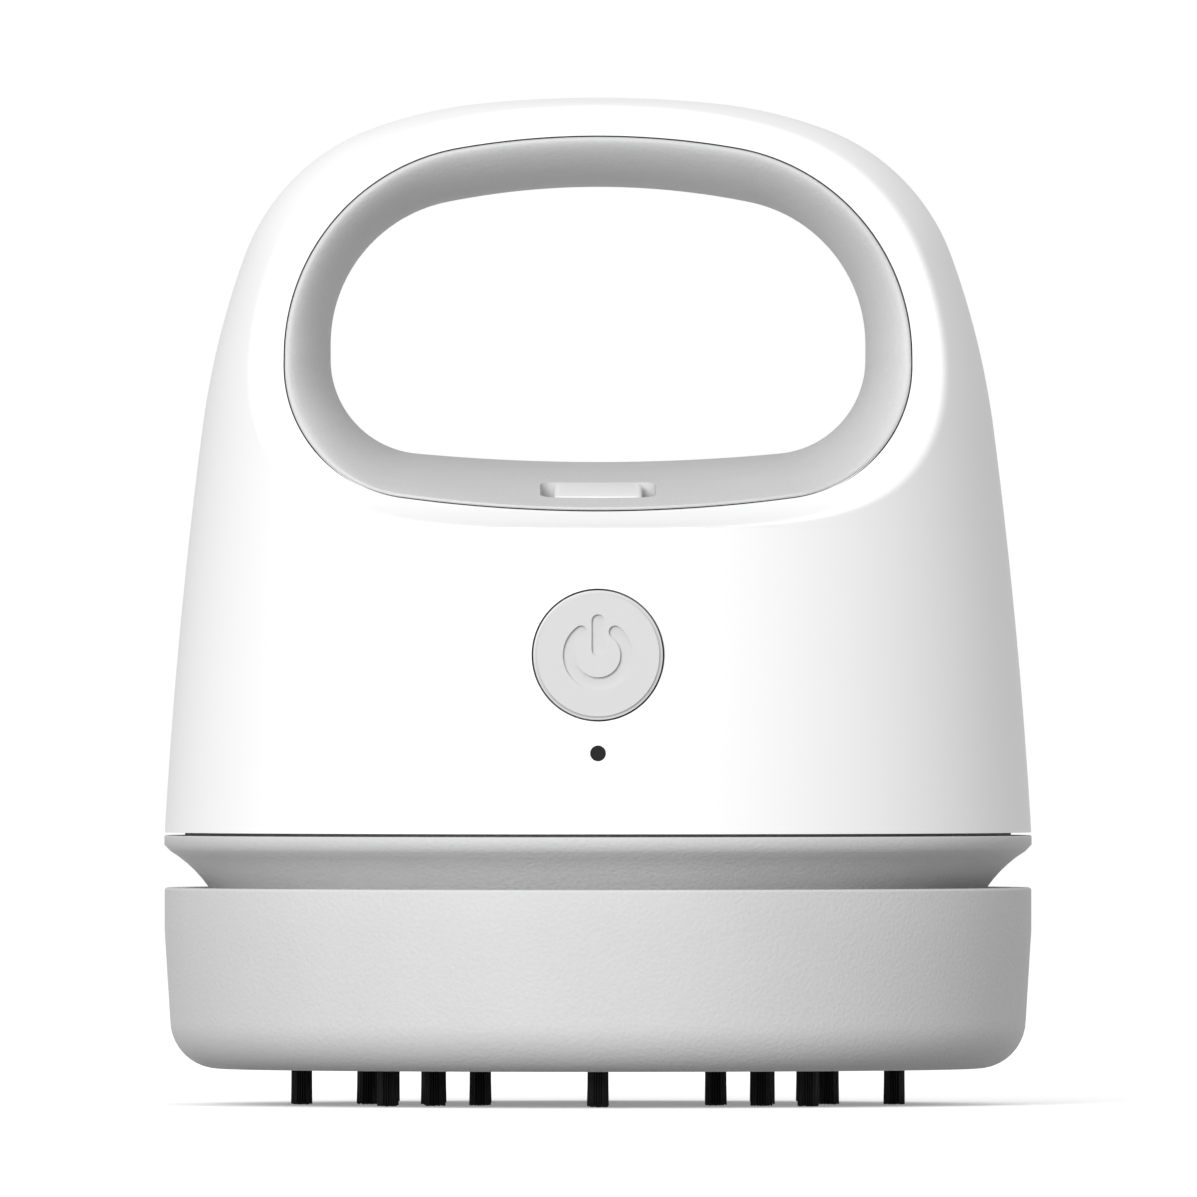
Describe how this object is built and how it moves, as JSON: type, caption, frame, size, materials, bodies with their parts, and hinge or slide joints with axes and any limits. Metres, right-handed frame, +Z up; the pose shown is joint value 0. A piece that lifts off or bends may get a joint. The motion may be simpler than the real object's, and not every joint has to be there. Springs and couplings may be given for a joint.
{
  "type": "desktop mini vacuum cleaner",
  "caption": "Palm-size desk vacuum: a turned white body scooped to an upright handle bow with a grey liner, push button and slide, over a lift-off grey dust cup with a brush.",
  "frame": {"origin": "on the desk surface, at the tips of the brush tufts, under the middle of the body", "axes": "+Z up, -Y is the front with the button, +X to the right seen from the front"},
  "size_m": [0.0882, 0.0882, 0.1023],
  "materials": {
    "white_shell": "satin white moulded plastic",
    "grey_shell": "fine-grained light grey moulded plastic",
    "button_grey": "smooth light grey plastic",
    "slide_grey": "smooth pale grey plastic",
    "lens_dark": "dark tinted plastic",
    "bristle": "black nylon filament",
    "seal_rubber": "soft black rubber",
    "inner_plastic": "dark grey moulded plastic",
    "filter_frame": "blue-grey plastic",
    "filter_cloth": "white non-woven filter cloth",
    "steel": "steel",
    "zinc_screw": "zinc-plated steel",
    "board_green": "green glass-fibre board",
    "switch_black": "black plastic",
    "led_clear": "clear resin",
    "cell_wrap": "plain blue heat-shrink sleeve"
  },
  "bodies": {
    "dust_cup": {"base_cup": "grey_shell", "brush_plate": "inner_plastic", "brush_tufts": "bristle"},
    "upper_unit": {"neck_ring": "grey_shell", "cup_seal": "seal_rubber", "filter_frame": "filter_frame", "filter_media": "filter_cloth", "fan_base": "inner_plastic", "motor_deck": "inner_plastic", "fan_screws": "zinc_screw", "motor_screws": "zinc_screw", "motor": "steel", "battery_cells": "cell_wrap", "battery_cradle": "inner_plastic", "circuit_board": "board_green", "push_switch": "switch_black", "status_light": "led_clear", "indicator_lens": "lens_dark", "charging_inlet": "steel", "charge_board": "board_green", "handle_liner_front": "grey_shell", "handle_liner_back": "grey_shell", "slide_switch": "switch_black", "top_shell": "white_shell", "case_screws": "zinc_screw"},
    "rotor": {"impeller": "switch_black", "motor_shaft": "steel"},
    "button": {"power_button": "button_grey", "switch_plunger": "switch_black"},
    "slider": {"slide_knob": "slide_grey"}
  },
  "joints": [
    {"name": "unit_lift", "type": "slide", "parent": "dust_cup", "child": "upper_unit", "axis": [0, 0, 1], "range_m": [0, 0.04]},
    {"name": "fan_spin", "type": "hinge", "parent": "upper_unit", "child": "rotor", "pos_m": [0, 0, 0.034], "axis": [0, 0, 1], "continuous": true},
    {"name": "button_press", "type": "slide", "parent": "upper_unit", "child": "button", "axis": [0, 1, 0], "range_m": [0, 0.0006], "stiffness_N_per_m": 1200, "springref_m": -0.0006},
    {"name": "slide_move", "type": "slide", "parent": "upper_unit", "child": "slider", "axis": [1, 0, 0], "range_m": [-0.0011, 0.0011]}
  ]
}
